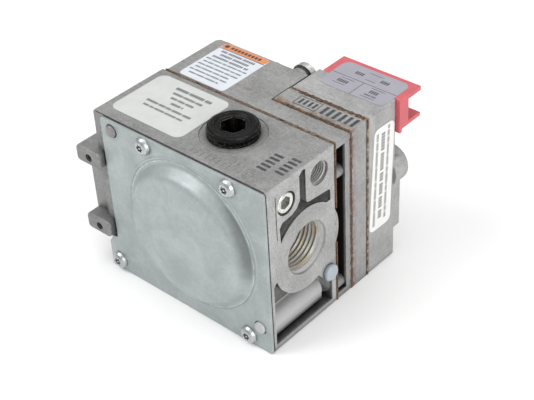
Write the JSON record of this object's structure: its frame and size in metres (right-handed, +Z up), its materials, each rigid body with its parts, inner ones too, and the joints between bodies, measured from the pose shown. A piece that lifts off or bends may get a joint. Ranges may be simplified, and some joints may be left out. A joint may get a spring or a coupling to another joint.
{
  "type": "combination gas control valve",
  "caption": "Cast gas control valve with threaded inlet and outlet, domed diaphragm cover, manual control knob, regulator and a red terminal strip.",
  "frame": {"origin": "centre of the outlet port at the casting's outlet end face", "axes": "+X out of the outlet port, +Y from the diaphragm cover towards the control knob, +Z up as the valve lies on its lower side"},
  "size_m": [0.1004, 0.097, 0.0808],
  "materials": {
    "cast_body": "as-cast, matt, slightly stained",
    "zinc_sheet": "bluish zinc plating",
    "gasket_fibre": "rust-brown fibre edge",
    "diaphragm_fabric": "coated fabric",
    "zinc_screw": "bright zinc plating",
    "black_oxide": "black oxide, oily sheen",
    "plated_plug": "bright plating",
    "white_plastic": "translucent white",
    "screen_wire": "woven wire",
    "plate_metal": "pressed or turned",
    "turned_steel": "turned",
    "valve_rubber": "nitrile",
    "spring_wire": "drawn wire",
    "knob_plastic": "moulded, fine texture",
    "power_unit_can": "drawn can",
    "brass_screw": "turned",
    "seat_plastic": "moulded acetal",
    "coil_winding": "enamelled wire",
    "red_plastic": "moulded, semi-gloss",
    "label_grey": "satin label stock",
    "label_white": "satin label stock"
  },
  "bodies": {
    "housing": {"armature_pin": "turned_steel", "body_gasket": "gasket_fibre", "body_screws": "zinc_screw", "cap_screws": "zinc_screw", "caution_label": "label_white", "control_body": "cast_body", "cover_gasket": "gasket_fibre", "cover_screws": "zinc_screw", "diaphragm_cover": "zinc_sheet", "gas_cock_cap": "plate_metal", "inlet_screen": "screen_wire", "knob_spring": "spring_wire", "main_body": "cast_body", "main_diaphragm": "diaphragm_fabric", "main_valve_spring": "spring_wire", "operator_coil": "coil_winding", "operator_core": "turned_steel", "operator_cover": "cast_body", "operator_gasket": "gasket_fibre", "operator_plate": "cast_body", "operator_screws": "zinc_screw", "operator_spring": "spring_wire", "power_unit": "power_unit_can", "pressure_tap_plug": "plated_plug", "rating_label": "label_grey", "regulator_cap": "zinc_screw", "regulator_cap_seal": "valve_rubber", "regulator_spring": "spring_wire", "safety_valve_spring": "spring_wire", "side_label": "label_white", "side_outlet_plug": "black_oxide", "terminal_block": "red_plastic", "terminal_label": "label_grey", "terminal_plates": "brass_screw", "terminal_screws": "brass_screw", "vent_plug": "white_plastic"},
    "main_valve": {"diaphragm_plate": "plate_metal", "main_valve_stem": "turned_steel", "main_valve_disc": "valve_rubber", "main_valve_retainer": "plate_metal"},
    "gas_cock": {"gas_cock_rotor": "plate_metal", "gas_cock_spring": "spring_wire"},
    "knob": {"control_knob": "knob_plastic", "knob_stem": "turned_steel"},
    "safety_valve": {"safety_valve_disc": "valve_rubber", "safety_armature": "turned_steel"},
    "armature": {"operator_armature": "turned_steel", "servo_valve": "valve_rubber"},
    "regulator_carrier": {"regulator_spring_seat": "seat_plastic"},
    "regulator_screw": {"regulator_adjuster": "brass_screw"},
    "regulator_poppet": {"regulator_valve": "valve_rubber"},
    "pilot_screw": {"pilot_adjuster": "brass_screw"}
  },
  "joints": [
    {"name": "main_valve_lift", "type": "slide", "parent": "housing", "child": "main_valve", "axis": [0, 1, 0], "range_m": [0, 0.003], "stiffness_N_per_m": 150, "deforming": ["main_valve_spring", "main_diaphragm"]},
    {"name": "gas_cock_turn", "type": "hinge", "parent": "housing", "child": "gas_cock", "pos_m": [-0.063, 0.03, 0], "axis": [0, 1, 0], "range_deg": [0, 170]},
    {"name": "knob_push", "type": "slide", "parent": "gas_cock", "child": "knob", "axis": [0, -1, 0], "range_m": [0, 0.0035], "stiffness_N_per_m": 800, "deforming": ["knob_spring"]},
    {"name": "safety_valve_lift", "type": "slide", "parent": "housing", "child": "safety_valve", "axis": [0, -1, 0], "range_m": [0, 0.0035], "deforming": ["safety_valve_spring"]},
    {"name": "armature_rock", "type": "hinge", "parent": "housing", "child": "armature", "pos_m": [-0.0305, 0.0392, 0.0025], "axis": [0, 0, 1], "range_deg": [0, 2.6], "stiffness_Nm_per_rad": 0.02, "deforming": ["operator_spring"]},
    {"name": "regulator_travel", "type": "slide", "parent": "housing", "child": "regulator_carrier", "axis": [0, -1, 0], "range_m": [0, 0.002], "deforming": ["regulator_spring"]},
    {"name": "regulator_turn", "type": "hinge", "parent": "regulator_carrier", "child": "regulator_screw", "pos_m": [-0.0438, 0.043, 0.0336], "axis": [0, -1, 0], "range_deg": [0, 720]},
    {"name": "regulator_poppet_lift", "type": "slide", "parent": "housing", "child": "regulator_poppet", "axis": [0, 1, 0], "range_m": [0, 0.0012], "stiffness_N_per_m": 60},
    {"name": "pilot_screw_turn", "type": "hinge", "parent": "housing", "child": "pilot_screw", "pos_m": [-0.0495, 0.042, -0.027], "axis": [0, -1, 0], "range_deg": [0, 540]}
  ],
  "couplings": [
    {"joint": "safety_valve_lift", "follows": "knob_push", "ratio": 1},
    {"joint": "regulator_travel", "follows": "regulator_turn", "m_per_rad": 0.00015915}
  ]
}
